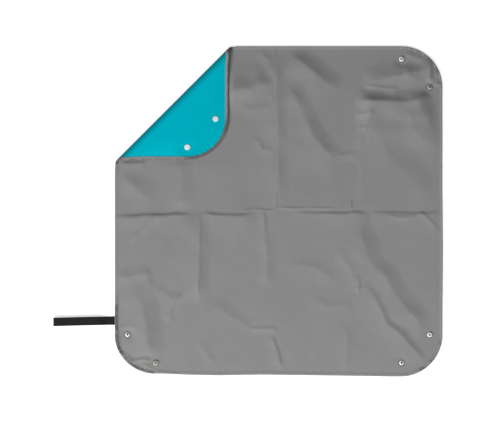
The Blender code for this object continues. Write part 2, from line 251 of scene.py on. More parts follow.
def beyond_fold(points):
    """How far points of the flat cloth lie past the fold line, towards the rear left corner."""
    return (points - fold_place) @ to_corner


def outside_outline(points, inset):
    """How far points lie outside the mat's outline drawn in by the inset, and which way that is."""
    radius = corner_radius - inset
    offset = points - mat_middle
    corner = np.abs(offset) - (mat_half - corner_radius)
    rounded = np.maximum(corner, 0)
    reach = np.linalg.norm(rounded, axis=1)
    distance = reach + np.minimum(corner.max(axis=1), 0) - radius
    flat_side = np.eye(2)[corner.argmax(axis=1)]
    outward = np.where(reach[:, None] > 0, rounded / np.maximum(reach, 1e-9)[:, None], flat_side)
    return distance, outward * np.where(offset < 0, -1, 1)


def along_line(points, line):
    """How far each point lies to the left of a line, and its share of the way along it."""
    line = np.array(line)
    steps = np.diff(line, axis=0)
    runs = np.linalg.norm(steps, axis=1)
    walked = np.concatenate(([0], np.cumsum(runs)))
    nearest = np.full(len(points), np.inf)
    aside = np.zeros(len(points))
    share = np.zeros(len(points))
    for start, step, run, before in zip(line, steps, runs, walked):
        offset = points - start
        part = np.clip(offset @ step / run**2, 0, 1)
        distance = np.linalg.norm(offset - part[:, None] * step, axis=1)
        side = step[0] * offset[:, 1] - step[1] * offset[:, 0]
        closer = distance < nearest
        nearest[closer] = distance[closer]
        aside[closer] = np.copysign(distance, side)[closer]
        share[closer] = ((before + part * run) / walked[-1])[closer]
    return aside, share


def ripples(points, size, seed):
    """Smooth random heights between -1 and 1, with swells of about the given size."""
    return np.array([noise.noise((x / size, y / size, seed)) for x, y in points])


def away_from_snaps(points, reach=snap_reach):
    """0 at a snap, and 1 at the given distance from all of them."""
    nearest = np.full(len(points), np.inf)
    for place in snap_places.values():
        nearest = np.minimum(nearest, np.linalg.norm(points - place, axis=1))
    return eased((nearest - snap_hold) / reach)


def swollen(points, swells):
    """Height of soft swells of several sizes."""
    return sum(height * ripples(points, size, seed) for height, size, seed in swells)


def corner_gathers(points, waves, waver, waver_waves, seed, inset, width):
    """Gathers by the edge at the rounded corners, as heights between -1 and 1."""
    past_sides = np.abs(points - mat_middle) - (mat_half - corner_radius)
    around = np.arctan2(*past_sides.T)
    wave = np.sin(around * waves + waver * np.sin(around * waver_waves))
    patchy = np.clip(0.3 + 2 * ripples(points, gather_patch_size, seed), 0, 1)
    by_edge = np.exp(-np.abs(-outside_outline(points, 0)[0] - inset) / width)
    return (past_sides > 0).all(axis=1) * wave * patchy * by_edge


def relief(points):
    """Height of the cloth over its flat level: creases, wrinkles and soft swells."""
    height = np.zeros(len(points))
    wander = np.column_stack([ripples(points, wander_size, seed) for seed in wander_seeds])
    wandered = points + wander_reach * wander
    uneven = 1 + uneven_share * ripples(points, uneven_size, uneven_seed)
    for rise, steep, gentle, *line in wrinkles:
        aside, share = along_line(wandered, line)
        softness = crest_softness_share * steep
        width = np.where(aside > 0, steep, gentle_stretch * gentle)
        fall = np.clip(1 - (np.hypot(aside, softness) - softness) / width, 0, 1)
        ends = eased(share / wrinkle_ends_share) * eased((1 - share) / wrinkle_ends_share)
        power = np.where(aside > 0, steep_power, gentle_power)
        height += wrinkle_scale * rise * uneven * ends * fall ** power
    above = wandered[:, 1] - np.interp(points[:, 0], *zip(*crease_line))
    depth = crease_depth * np.interp(points[:, 0], *zip(*crease_depth_shares))
    bank = (1 - np.exp(-np.abs(above) / crease_near_width)) * np.exp(-np.abs(above) / crease_far_width)
    height += depth * bank * np.where(above < 0, 1.0, crease_rear_share)
    height += swollen(points, swells)
    inside = -outside_outline(points, 0)[0]
    height *= hem_share + (1 - hem_share) * eased(inside / hem_reach)
    height += gather_height * corner_gathers(
        points, waves=46, waver=3, waver_waves=7, seed=4.4, inset=0.010, width=0.007
    )
    past_corner = np.maximum(points[:, 0] - mat_left, mat_rear - points[:, 1]) - turned_leg
    height *= eased((past_corner + corner_side_start) / corner_side_width)
    height *= eased(-beyond_fold(points) / roll_reach) * away_from_snaps(points, wrinkle_snap_reach)
    return np.maximum(height, -deepest_hollow * eased(inside / hollow_reach))


def drift(points):
    """The flat cloth's points moved to where its edges lie, a little off straight."""
    moved = points.copy()
    hold = away_from_snaps(points)
    near_front = eased(1 - (points[:, 1] - mat_front) / edge_drift_reach)
    near_right = eased(1 - (mat_right - points[:, 0]) / edge_drift_reach)
    moved[:, 1] += hold * near_front * np.interp(points[:, 0], *zip(*front_edge_drift))
    moved[:, 0] += hold * near_right * np.interp(points[:, 1], *zip(*right_edge_drift))
    return moved


def laid_flat(points, lift):
    """Where points of the flat cloth lie, at a height over its grey face."""
    height = np.maximum(face_z + relief(points) + lift, lowest_z)
    return np.column_stack((drift(points), height))


grid_spacing = 0.00285
crease_spacing = 0.0012
crease_reach = 0.006


def grid_lines(start, end, spacing, fine_spacing, creases):
    """Places of grid lines, closer together by the creases."""
    places = [start]
    while places[-1] < end:
        near = min(abs(places[-1] - crease) for crease in creases)
        places.append(places[-1] + (fine_spacing if near < crease_reach else spacing))
    return np.array(places)


def cut_main(points):
    """Draws points in to the edge of the main cloth: the mat's outline and the seam by the roll."""
    outside, outward = outside_outline(points, cloth_inset)
    drawn = points - np.maximum(outside, 0)[:, None] * outward
    beyond = beyond_fold(drawn) - roll_seam
    drawn = drawn - np.maximum(beyond, 0)[:, None] * to_corner
    return drawn, (outside > 0) | (beyond > 0)


def made_piece(name, points, faces, material, places=None, place_name="flat_cloth", sharp_angle=None):
    """A smooth mesh object with its material. The flat place of each point is kept as a UV map."""
    mesh = bpy.data.meshes.new(name)
    mesh.from_pydata(points.tolist(), [], faces)
    if places is not None:
        corners = np.empty(len(mesh.loops), np.int32)
        mesh.loops.foreach_get("vertex_index", corners)
        mesh.uv_layers.new(name=place_name).uv.foreach_set("vector", places[corners].ravel())
    mesh.shade_smooth()
    if sharp_angle:
        mesh.set_sharp_from_angle(angle=sharp_angle)
    mesh.materials.append(material)
    piece = bpy.data.objects.new(name, mesh)
    bpy.context.collection.objects.link(piece)
    return piece


def cloth_piece(name, material, grid, cut, place, lift, looks_down=False):
    """A sheet of cloth from a grid of flat points, cut to its outline and then laid in place.

    A cell of the grid with only one corner inside the outline is clipped to a triangle.
    """
    rows, columns = grid.shape[:2]
    flat, outside = cut(grid.reshape(-1, 2))
    index = np.arange(rows * columns).reshape(rows, columns)
    cells = np.stack((index[:-1, :-1], index[:-1, 1:], index[1:, 1:], index[1:, :-1]), axis=-1)
    cells = cells.reshape(-1, 4)
    if looks_down:
        cells = cells[:, ::-1]
    corners_inside = (~outside[cells]).sum(axis=1)
    whole = cells[corners_inside > 1]
    clipped = cells[corners_inside == 1]
    from_inside = (~outside[clipped]).argmax(axis=1)[:, None] + np.array((0, 1, 3))
    clipped = np.take_along_axis(clipped, from_inside % 4, axis=1)
    used = np.unique(np.concatenate((whole.ravel(), clipped.ravel())))
    faces = np.searchsorted(used, whole).tolist() + np.searchsorted(used, clipped).tolist()
    flat = flat[used]
    return made_piece(name, place(flat, lift), faces, material, flat)


def set_inputs(tree, node, inputs):
    """Sets a node's inputs to values, or joins them to other nodes' sockets."""
    for key, value in dict(inputs).items():
        if isinstance(value, bpy.types.NodeSocket):
            tree.links.new(value, node.inputs[key])
        else:
            node.inputs[key].default_value = value
    return node


def add_node(tree, kind, inputs=(), **settings):
    """A shader node with its settings and its inputs."""
    made = tree.nodes.new(f"ShaderNode{kind}")
    for setting, value in settings.items():
        setattr(made, setting, value)
    return set_inputs(tree, made, inputs)


def math_node(tree, operation, *values):
    return add_node(tree, "Math", enumerate(values), operation=operation).outputs[0]


def vector_node(tree, operation, *values, output=0):
    return add_node(tree, "VectorMath", enumerate(values), operation=operation).outputs[output]


def noise_node(tree, place, scale, detail=2.0):
    return add_node(tree, "TexNoise", {"Vector": place, "Scale": scale, "Detail": detail}).outputs["Fac"]


def map_range(tree, value, low, high, to_low=0.0, to_high=1.0, **settings):
    """A value moved from one range to another, and kept inside it."""
    ranges = {"Value": value, "From Min": low, "From Max": high, "To Min": to_low, "To Max": to_high}
    return add_node(tree, "MapRange", ranges, **settings).outputs[0]


def mix_numbers(tree, share, first, second):
    return add_node(tree, "Mix", {0: share, 2: first, 3: second}).outputs[0]


def mix_colours(tree, share, first, second):
    """A colour between two others, each of them a socket or a plain colour."""
    ends = [end if isinstance(end, bpy.types.NodeSocket) else (*end, 1) for end in (first, second)]
    return add_node(tree, "Mix", {0: share, 6: ends[0], 7: ends[1]}, data_type="RGBA").outputs[2]


def start_group(name, inputs, outputs):
    """A shader node group with number and vector sockets, and its input and output nodes."""
    group = bpy.data.node_groups.new(name, "ShaderNodeTree")
    for label, kind, default in inputs:
        made = group.interface.new_socket(label, in_out="INPUT", socket_type=f"NodeSocket{kind}")
        if default is not None:
            made.default_value = default
    for label in outputs:
        group.interface.new_socket(label, in_out="OUTPUT", socket_type="NodeSocketFloat")
    return group, group.nodes.new("NodeGroupInput"), group.nodes.new("NodeGroupOutput")


def start_material(name):
    """A material made of nodes, with its node tree and its main shader."""
    material = bpy.data.materials.new(name)
    material.use_nodes = True
    return material, material.node_tree, material.node_tree.nodes["Principled BSDF"]


# Plain weave, over and under in both directions, from a place on the flat cloth
plain_weave, given, result = start_group(
    "plain_weave", (("Flat place", "Vector", None), ("Threads per metre", "Float", 1400.0)),
    ("Height", "Slub"),
)
threads = add_node(
    plain_weave, "VectorMath",
    {0: given.outputs["Flat place"], "Scale": given.outputs["Threads per metre"]}, operation="SCALE",
).outputs[0]
parted = add_node(plain_weave, "SeparateXYZ", {0: threads})
thread_crowns = [
    math_node(
        plain_weave, "ABSOLUTE",
        math_node(plain_weave, "SINE", math_node(plain_weave, "MULTIPLY", parted.outputs[axis], math.pi)),
    )
    for axis in "XY"
]
checks = add_node(plain_weave, "TexChecker", {"Vector": threads, "Scale": 1.0}).outputs["Fac"]
drawn_out = vector_node(plain_weave, "MULTIPLY", given.outputs["Flat place"], (60.0, 900.0, 1.0))
set_inputs(plain_weave, result, {
    "Height": mix_numbers(plain_weave, checks, *thread_crowns),
    "Slub": noise_node(plain_weave, drawn_out, 1.0),
})

# Uneven dye and handling: broad soft patches with a finer mottle in them
dye_patches, given, result = start_group(
    "dye_patches",
    (("Flat place", "Vector", None), ("Broad scale", "Float", 7.0), ("Fine scale", "Float", 90.0)),
    ("Patches",),
)
broad = noise_node(dye_patches, given.outputs["Flat place"], given.outputs["Broad scale"], 3.0)
fine = noise_node(dye_patches, given.outputs["Flat place"], given.outputs["Fine scale"], 4.0)
set_inputs(dye_patches, result, {"Patches": mix_numbers(dye_patches, 0.4, broad, fine)})

# The cloth round each snap is darkened with painted shade. The four corners' pairs mirror each other
snap_shade_radius = 0.0062
snap_shade_fade = 0.0038
snap_shade_ring, given, result = start_group("snap_shade_ring", (("Flat place", "Vector", None),), ("Mask",))
from_middle = vector_node(snap_shade_ring, "SUBTRACT", given.outputs["Flat place"], (*mat_middle, 0))
from_middle = vector_node(snap_shade_ring, "ABSOLUTE", from_middle)
snap_distances = [
    vector_node(
        snap_shade_ring, "DISTANCE", from_middle, (*np.abs(snap_places[name] - mat_middle), 0), output="Value"
    )
    for name in ("rear_right_socket", "rear_right_stud")
]
painted_snap_shade = map_range(
    snap_shade_ring, math_node(snap_shade_ring, "MINIMUM", *snap_distances), snap_shade_radius,
    snap_shade_radius + snap_shade_fade, 1.0, 0.0, interpolation_type="SMOOTHSTEP",
)
set_inputs(snap_shade_ring, result, {"Mask": painted_snap_shade})


def shade_round_snaps(tree, flat_place):
    """A mask of painted shade on the cloth round the snaps."""
    return add_node(tree, "Group", {"Flat place": flat_place}, node_tree=snap_shade_ring).outputs["Mask"]


def cloth_material(
    name, light, dark, slub_share, threads_per_metre, weave_depth, finish, mark=shade_round_snaps,
    marked=(0.15, 0.15, 0.15),
):
    """Woven cloth: two tones mixed by patches and slubs, a third colour laid by a mask that holds painted
    shade and soil, and a bumpy weave.
    """
    material, tree, shader = start_material(name)
    flat_place = add_node(tree, "UVMap", uv_map="flat_cloth").outputs["UV"]
    weave = add_node(
        tree, "Group", {"Flat place": flat_place, "Threads per metre": threads_per_metre},
        node_tree=plain_weave,
    )
    patches = add_node(tree, "Group", {"Flat place": flat_place}, node_tree=dye_patches)
    tone = mix_numbers(tree, slub_share, patches.outputs["Patches"], weave.outputs["Slub"])
    colour = mix_colours(tree, map_range(tree, tone, 0.3, 0.7), dark, light)
    bump = add_node(
        tree, "Bump", {"Height": weave.outputs["Height"], "Strength": 0.35, "Distance": weave_depth}
    )
    set_inputs(tree, shader, {
        "Base Color": mix_colours(tree, mark(tree, flat_place), colour, marked),
        "Normal": bump.outputs[0],
        **finish,
    })
    return material


# The grey cloth is darkened round the snaps with painted shade, in the default marked colour
grey_material = cloth_material(
    "grey_woven_polyester", light=(0.293, 0.291, 0.290), dark=(0.265, 0.264, 0.265), slub_share=0.25,
    threads_per_metre=1300.0, weave_depth=0.00012,
    finish={"Roughness": 0.85, "Specular IOR Level": 0.25, "Sheen Weight": 0.05, "Sheen Roughness": 0.5},
)

upright_creases = (-0.119, 0.038, 0.068, 0.074, 0.254, 0.276)
level_creases = (-0.007, 0.001)
across = grid_lines(mat_left, mat_right, grid_spacing, crease_spacing, upright_creases)
along = grid_lines(mat_front, mat_rear, grid_spacing, crease_spacing, level_creases)
main_grid = np.stack(np.meshgrid(across, along), axis=-1)
grey_main = cloth_piece("grey_cloth", grey_material, main_grid, cut_main, laid_flat, lift=0.0)

half_fold_reach = 0.006
fold_height = joints["half_fold"]["pos_m"][2]
half_fold_zone = [(mat_middle[0], y, fold_height) for y in (-half_fold_reach, half_fold_reach)]
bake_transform(grey_main)
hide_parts("front_grey_cloth", "rear_grey_cloth")


# Teal backing cloth
# The same square in polyester with a smooth waterproof coating, coloured teal: the side that takes the
# soil. It lies under the grey cloth and follows its creases, and only the edge holds the two together.
teal_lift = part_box("front_teal_cloth")[0].z - face_z
teal_spacing = 0.0050
teal_upright_spacing = 0.0030
teal_level_spacing = 0.0015
teal_upright_creases = (-0.119, 0.074)
teal_level_creases = (0.001,)
# Painted shade on the teal along the turned corner's fold rim: where it is centred past the fold, its half
# width, its fade and its strength
fold_shade_place = 0.005
fold_shade_half_width = 0.003
fold_shade_reach = 0.016
fold_shade_share = 0.85


def shade_at_fold(tree, flat_place):
    """A mask of painted shade on the coating where it bends round the turned corner's fold."""
    offset = vector_node(tree, "SUBTRACT", flat_place, (*fold_place, 0))
    beyond = vector_node(tree, "DOT_PRODUCT", offset, (*to_corner, 0), output="Value")
    from_rim = math_node(tree, "ABSOLUTE", math_node(tree, "SUBTRACT", beyond, fold_shade_place))
    return map_range(
        tree, from_rim, fold_shade_half_width, fold_shade_half_width + fold_shade_reach, fold_shade_share, 0.0
    )


# The teal's marked colour is the painted shade along the fold rim
teal_material = cloth_material(
    "teal_coated_polyester", light=(0.0, 0.510, 0.635), dark=(0.0, 0.472, 0.590), slub_share=0.15,
    threads_per_metre=1500.0, weave_depth=0.00008,
    finish={"Roughness": 0.5, "Specular IOR Level": 0.2, "Specular Tint": (0.0, 0.85, 1.0, 1)},
    mark=shade_at_fold, marked=(0.004, 0.215, 0.285),
)
teal_across = grid_lines(mat_left, mat_right, teal_spacing, teal_upright_spacing, teal_upright_creases)
teal_along = grid_lines(mat_front, mat_rear, teal_spacing, teal_level_spacing, teal_level_creases)
teal_grid = np.stack(np.meshgrid(teal_across, teal_along), axis=-1)
teal_main = cloth_piece(
    "teal_cloth", teal_material, teal_grid, cut_main, laid_flat, teal_lift, looks_down=True
)
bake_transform(teal_main)
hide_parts("front_teal_cloth", "rear_teal_cloth")


# Turned corner
# The rear left corner of both cloths, folded over a loose roll so that it lies back on the mat with its
# teal side up. The roll bends round into the corner in one sweep, and is split half-way up for its hinges.
roll_height = joints["corner_turn"]["pos_m"][2] - joints["corner_fold"]["pos_m"][2]
roll_turn = math.radians(90)
corner_turn = -math.radians(joints["corner_turn"]["range_deg"][0])
corner_tilt = corner_turn - roll_turn

# The turned corner sags from the roll to its snaps, less where it is full inside the hem, and swells softly
corner_sag = 0.0040
corner_sag_length = 0.055
corner_sag_end = 0.135
corner_sag_fade = 0.080
corner_fullness = 0.5
fullness_inset = 0.006
fullness_width = 0.040
corner_swells = ((0.0012, 0.080, 9.3), (0.0003, 0.026, 2.2))
corner_swell_lift = 0.0006
corner_swell_length = 0.045
corner_gather_height = 0.0004
corner_rise_limit = 0.0008

# Both bends of the roll: the lower one is round, and the upper one starts tightly and opens out
lower_radius = 0.0028
upper_bend_length = 0.0150
upper_bend_power = 1.8
lower_bend_length = lower_radius * roll_turn
turn_samples = 400
bend_samples = 600


def upper_turn(share):
    """How far the cloth has turned at a share of the way round the upper bend, which starts tightly."""
    return roll_turn + corner_turn * (1 - (1 - share) ** upper_bend_power)


def turned_plane():
    """Where the bends start past the fold, and the wall between them that puts the corner in its plane."""
    turn = upper_turn((np.arange(turn_samples) + 0.5) / turn_samples)
    back = lower_radius + upper_bend_length * np.cos(turn).mean()
    rise = lower_radius + upper_bend_length * np.sin(turn).mean()
    level, steepness = math.cos(corner_tilt), math.tan(corner_tilt)
    spare = lower_bend_length + upper_bend_length - roll_height
    start = (-back - spare * level) / (1 + level)
    wall = (roll_height + (start + back) * steepness - rise) / (1 + level * steepness / (1 + level))
    return start - wall * level / (1 + level), wall


first_bend, wall_height = turned_plane()
first_bend_end = first_bend + lower_bend_length
second_bend = first_bend_end + wall_height
second_bend_end = second_bend + upper_bend_length
roll_middle = (first_bend_end + second_bend) / 2
wall_place = first_bend + lower_radius

# The fold isn't quite straight: the cloth draws its middle in, and the hem draws in its two ends
middle_pull = 0.0024
hem_pull = 0.0012
hem_pull_width = 0.021
hem_pull_fade = 0.012
pull_fade_length = 0.020
fold_half_length = turned_leg / math.sqrt(2)


def drawn_in(beyond, along):
    """How far the fold is drawn in all along it by the cloth, and at its ends by the thick hem."""
    hem = eased((np.abs(along) - fold_half_length + hem_pull_width) / hem_pull_fade)
    before = eased((beyond - roll_seam) / (first_bend - roll_seam))
    after = eased((second_bend_end + pull_fade_length - beyond) / pull_fade_length)
    return middle_pull * before * after, hem_pull * hem * before * after


def walked(rates, step):
    """Running sum of a rate along equal steps."""
    return np.concatenate(([0], np.cumsum((rates[1:] + rates[:-1]) / 2 * step)))


bend_beyond = np.linspace(first_bend, second_bend_end, bend_samples)
bend_step = bend_beyond[1] - bend_beyond[0]
bend_turn = np.minimum((bend_beyond - first_bend) / lower_bend_length, 1) * roll_turn
in_upper = bend_beyond > second_bend
bend_turn[in_upper] = upper_turn((bend_beyond[in_upper] - second_bend) / upper_bend_length)
bend_towards = first_bend + walked(np.cos(bend_turn), bend_step)
bend_height = walked(np.sin(bend_turn), bend_step)


def sagged(points):
    """How far the turned corner lies below its plane, which is towards the camera's side of its cloth."""
    inside = -outside_outline(points, 0)[0]
    past_roll = beyond_fold(points) - second_bend_end
    lift = swollen(points, corner_swells) + corner_swell_lift
    lift += corner_gather_height * corner_gathers(
        points, waves=31, waver=4, waver_waves=6, seed=7.7, inset=0.012, width=0.010
    )
    lift *= away_from_snaps(points) * eased(past_roll / corner_swell_length)
    sag = corner_sag * eased(past_roll / corner_sag_length)
    sag *= eased((corner_sag_end - past_roll) / corner_sag_fade)
    sag *= 1 - corner_fullness * eased((inside - fullness_inset) / fullness_width)
    return np.maximum(sag - lift, -corner_rise_limit)


def turned_over(points, lift):
    """Where points of the flat cloth lie once the corner is turned over, at a height over the grey face."""
    beyond = beyond_fold(points)
    along = (points - fold_place) @ along_fold
    turn = np.interp(beyond, bend_beyond, bend_turn, left=0)
    rest = np.maximum(beyond - second_bend_end, 0)
    before = np.minimum(beyond - first_bend, 0)
    lift = lift + np.where(beyond > 0, sagged(points), relief(points))
    towards = np.interp(beyond, bend_beyond, bend_towards) + before - rest * math.cos(corner_tilt)
    height = np.interp(beyond, bend_beyond, bend_height) - rest * math.sin(corner_tilt)
    cloth_pull, end_pull = drawn_in(beyond, along)
    towards -= lift * np.sin(turn) + cloth_pull + end_pull
    along = along + np.sign(along) * end_pull * np.cos(turn)
    height += lift * np.cos(turn)
    level = fold_place + along[:, None] * along_fold + towards[:, None] * to_corner
    return np.column_stack((level + drift(points) - points, np.maximum(face_z + height, lowest_z)))


def cut_corner_cloth(low, high):
    """A cut for the cloth between two distances past the fold line."""
    def cut(points):
        outside, outward = outside_outline(points, cloth_inset)
        drawn = points - np.maximum(outside, 0)[:, None] * outward
        beyond = beyond_fold(drawn)
        shift = np.clip(beyond, low, high) - beyond
        return drawn + shift[:, None] * to_corner, (outside > 0) | (np.abs(shift) > 0)
    return cut


corner_columns = 180


def corner_grid(beyond_lines):
    """A grid of flat points with its rows along the fold line."""
    along_lines = np.linspace(-fold_half_length, fold_half_length, corner_columns)
    along, beyond = np.meshgrid(along_lines, beyond_lines)
    return fold_place + along[..., None] * along_fold + beyond[..., None] * to_corner


def at_fold(towards, height):
    """A point on the fold's middle line, moved towards the corner and up."""
    return (*(fold_place + towards * to_corner), face_z + height)


# Where the cloth and its binding turn from one body's motion to the next: up the roll, and over its top
rim_place = wall_place - middle_pull
roll_zone_start = 0.001
roll_zone_top = 0.6 * roll_height / 2
corner_zone_reach = (0.0030, 0.0085)
roll_zone = (at_fold(first_bend - roll_zone_start, 0), at_fold(rim_place, roll_zone_top))
corner_zone = (
    at_fold(rim_place - corner_zone_reach[0], roll_height / 2),
    at_fold(rim_place - corner_zone_reach[1], roll_height),
)
corner_tip = beyond_fold(np.array([(mat_left, mat_rear)]))[0] - (math.sqrt(2) - 1) * corner_radius
lower_roll_rows = 14
upper_roll_rows = 20
corner_spacing = 0.0025
roll_lines = np.concatenate(([roll_seam], np.linspace(first_bend, roll_middle, lower_roll_rows)))
corner_lines = np.concatenate((
    np.linspace(roll_middle, second_bend_end, upper_roll_rows),
    np.arange(second_bend_end + 0.6 * corner_spacing, corner_tip, corner_spacing), [corner_tip],
))
for colour, material, lift, looks_down in (
    ("grey", grey_material, 0.0, False), ("teal", teal_material, teal_lift, True),
):
    roll = cloth_piece(
        f"{colour}_cloth_roll", material, corner_grid(roll_lines),
        cut_corner_cloth(roll_seam, roll_middle), turned_over, lift, looks_down,
    )
    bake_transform(roll)
    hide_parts(f"roll_{colour}_cloth")
    corner = cloth_piece(
        f"{colour}_cloth_corner", material, corner_grid(corner_lines),
        cut_corner_cloth(roll_middle, corner_tip), turned_over, lift, looks_down,
    )
    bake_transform(corner)
    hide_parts(f"corner_{colour}_cloth")


# Edge binding
# A woven grey tape folded over the edges of both cloths and sewn through all three, right round the mat.
# It puckers a little at every stitch, and more where it is eased round the corners.
tape_steps = 0.0021
tape_section = (
    (0.0080, 0.00015), (0.0080, 0.00030), (0.0073, 0.00045), (0.0063, 0.00035), (0.0052, 0.00065),
    (0.0036, 0.00105), (0.0020, 0.00120), (0.0007, 0.00080), (0.0000, 0.00000), (0.0000, -0.00110),
    (0.0004, -0.00190), (0.0014, -0.00235), (0.0032, -0.00245), (0.0052, -0.00220), (0.0063, -0.00185),
    (0.0073, -0.00205), (0.0080, -0.00185), (0.0080, -0.00160), (0.0014, -0.00155), (0.0010, -0.00065),
    (0.0014, 0.00015),
)
tape_upper_height = 0.0003
tape_lower_height = -0.0017
mitre_length = 0.030
inner_edge_inset = 0.0070
inner_edge_wander = 0.00035
outline_turn_steps = 90
sharp_edge_angle = math.radians(50)
quarter_arc = corner_radius * math.pi / 2
side_lengths = 2 * mat_half - 2 * corner_radius


def walked_along(line):
    """How far each point of a line lies along it."""
    return np.concatenate(([0], np.cumsum(np.linalg.norm(np.diff(line, axis=0), axis=1))))


def walk_outline():
    """Points and outward directions right round the mat's edge, clockwise from the turned corner's middle."""
    walk = []
    turn_steps = np.linspace(0, math.pi / 2, outline_turn_steps + 1)
    for number, (side_x, side_y) in enumerate(((-1, 1), (1, 1), (1, -1), (-1, -1))):
        middle = mat_middle + np.array((side_x, side_y)) * (mat_half - corner_radius)
        heading = math.pi * (1 - number / 2) - turn_steps
        outward = np.column_stack((np.cos(heading), np.sin(heading)))
        walk.append(np.column_stack((middle + corner_radius * outward, outward)))
    whole = np.concatenate(walk)
    start = outline_turn_steps // 2
    return np.concatenate((whole[start:], whole[:start + 1]))


outline_walk = walk_outline()
outline_distances = walked_along(outline_walk[:, :2])
outline_length = outline_distances[-1]
rear_seam_distance = quarter_arc / 2 + turned_leg - corner_radius


def at_edge(distance, inset):
    """Flat points at a distance round the mat's edge and an inset from it."""
    walked = [np.interp(distance % outline_length, outline_distances, column) for column in outline_walk.T]
    point, outward = np.column_stack(walked[:2]), np.column_stack(walked[2:])
    return point - np.asarray(inset)[:, None] * outward


def edge_distance(beyond):
    """The distance round the edge, from the turned corner's middle, at which the edge lies past the fold."""
    rear_edge = at_edge(np.array([rear_seam_distance]), np.zeros(1))
    return rear_seam_distance + (beyond_fold(rear_edge)[0] - beyond) * math.sqrt(2)


seam_distance = edge_distance(roll_seam)
split_distance = edge_distance(roll_middle)


def round_corner(distance, beyond=0.0, ease=0.02):
    """1 where the edge goes round a corner, or within a distance beyond its ends, and 0 along the sides."""
    along_quarter = (distance % outline_length + quarter_arc / 2) % outline_length
    side_x, side_y = side_lengths
    starts = np.array((
        0, quarter_arc + side_x, 2 * quarter_arc + side_x + side_y, 3 * quarter_arc + 2 * side_x + side_y,
        outline_length,
    ))
    into = along_quarter[:, None] - starts + beyond
    return (eased(into / ease) * eased((quarter_arc + 2 * beyond - into) / ease)).max(axis=1)


# The tape's puckers, higher in the corners and highest in the turned one
pucker_pitch = 0.0068
side_pucker = 0.00008
corner_pucker = 0.00026
turned_pucker = 0.00022

# The stretch by the strap where the mat is gripped, measured back round the edge from the turned corner
gripped_middle = 0.71
gripped_half = 0.12
gripped_fade = 0.030
gripped_share = 0.85

# The tape is darkened at its corners with soil, which also stands for the shade in its puckers, and most at
# the fold's ends and the turned corner's very edge with painted shade and painted shadow
corner_darkening_beyond = 0.030
corner_darkening_fade = 0.05
fold_end_shade_share = 2.0
fold_end_shade_reach = 0.011
rim_shadow_inset = 0.0016


def tape_puckers(distance):
    """Height of the tape's puckers round the edge."""
    in_corner = round_corner(distance)
    wave = np.sin(math.tau * distance / pucker_pitch + 1.8 * np.sin(distance * 61) + np.sin(distance * 23))
    turned = np.abs(distance % outline_length - outline_length / 2) > outline_length / 2 - seam_distance
    return (side_pucker + corner_pucker * in_corner + turned_pucker * in_corner * turned) * wave


def tape_soil_and_shade(distance, insets):
    """How much each place on the tape is darkened: soil by the strap, soil and painted pucker shade at the
    corners, and painted shade and painted shadow at the fold's ends and the turned corner's edge.
    """
    back = outline_length - distance % outline_length
    from_turned = np.abs((distance + outline_length / 2) % outline_length - outline_length / 2)
    turned_up = from_turned < split_distance
    corners = np.where(turned_up, 1.0, 0.5) * round_corner(distance, corner_darkening_beyond, corner_darkening_fade)
    gripped = gripped_share * eased((gripped_half - np.abs(back - gripped_middle)) / gripped_fade)
    painted_fold_end_shade = fold_end_shade_share * np.exp(-((from_turned - split_distance) / fold_end_shade_reach) ** 2)
    return np.maximum.reduce((corners, gripped, painted_fold_end_shade, 1.0 * (insets < rim_shadow_inset) * turned_up))


def tube_faces(rings, ring, tubes=1, clockwise=False):
    """Faces of tubes whose points run ring by ring, with a cap at each end."""
    index = np.arange(tubes * rings * ring).reshape(tubes, rings, ring)
    after = np.roll(index, -1, axis=2)
    sides = np.stack((index[:, :-1], index[:, 1:], after[:, 1:], after[:, :-1]), axis=-1).reshape(-1, 4)
    caps = np.concatenate((index[:, 0], index[:, -1, ::-1]))
    if clockwise:
        sides, caps = sides[:, (0, 3, 2, 1)], caps[:, ::-1]
    return sides.tolist() + caps.tolist()


def tape_piece(name, start, end, start_mitre, end_mitre):
    """A length of the binding. Its ends are cut along the fold line where they meet another length."""
    rings = max(int(round((end - start) / tape_steps)), 2) + 1
    ring = len(tape_section)
    distance = np.repeat(np.linspace(start, end, rings), ring)
    insets, heights = np.tile(tape_section, (rings, 1)).T
    shear = start_mitre * (1 - eased((distance - start) / mitre_length))
    shear += end_mitre * (1 - eased((end - distance) / mitre_length))
    lower = np.where(heights < tape_lower_height, -1, 0)
    heights = heights + tape_puckers(distance) * np.where(heights > tape_upper_height, 1, lower)
    wander = inner_edge_wander * np.sin(distance * 480 + 2 * np.sin(distance * 90))
    flat = at_edge(distance + shear * insets, insets + wander * (insets > inner_edge_inset))
    across = np.tile(walked_along(np.array(tape_section)), rings)
    piece = made_piece(
        name, turned_over(flat, heights), tube_faces(rings, ring), tape_material,
        np.column_stack((distance, across)), sharp_angle=sharp_edge_angle,
    )
    # Each point keeps the amount of soil and painted shade on the tape there
    grime_shade_amount = piece.data.attributes.new("grime_shade_amount", "FLOAT", "POINT")
    grime_shade_amount.data.foreach_set("value", tape_soil_and_shade(distance, insets))
    return piece


soil_scale = 60.0
patches_by_darkening = 0.4
soil_range = (0.62, 0.86)
least_strength = 0.45
strength_by_darkening = 0.25


def grime_and_painted_shade(tree, flat_place):
    """A mask of the patches of soil and painted shade on the tape: they run together where it is darkened
    most.
    """
    grime_shade_amount = add_node(tree, "Attribute", attribute_name="grime_shade_amount").outputs["Fac"]
    patches = noise_node(tree, flat_place, soil_scale, 4.0)
    soil_and_shade = math_node(tree, "MULTIPLY_ADD", grime_shade_amount, patches_by_darkening, patches)
    strength = math_node(tree, "MULTIPLY_ADD", grime_shade_amount, strength_by_darkening, least_strength)
    return math_node(tree, "MULTIPLY", map_range(tree, soil_and_shade, *soil_range), strength)


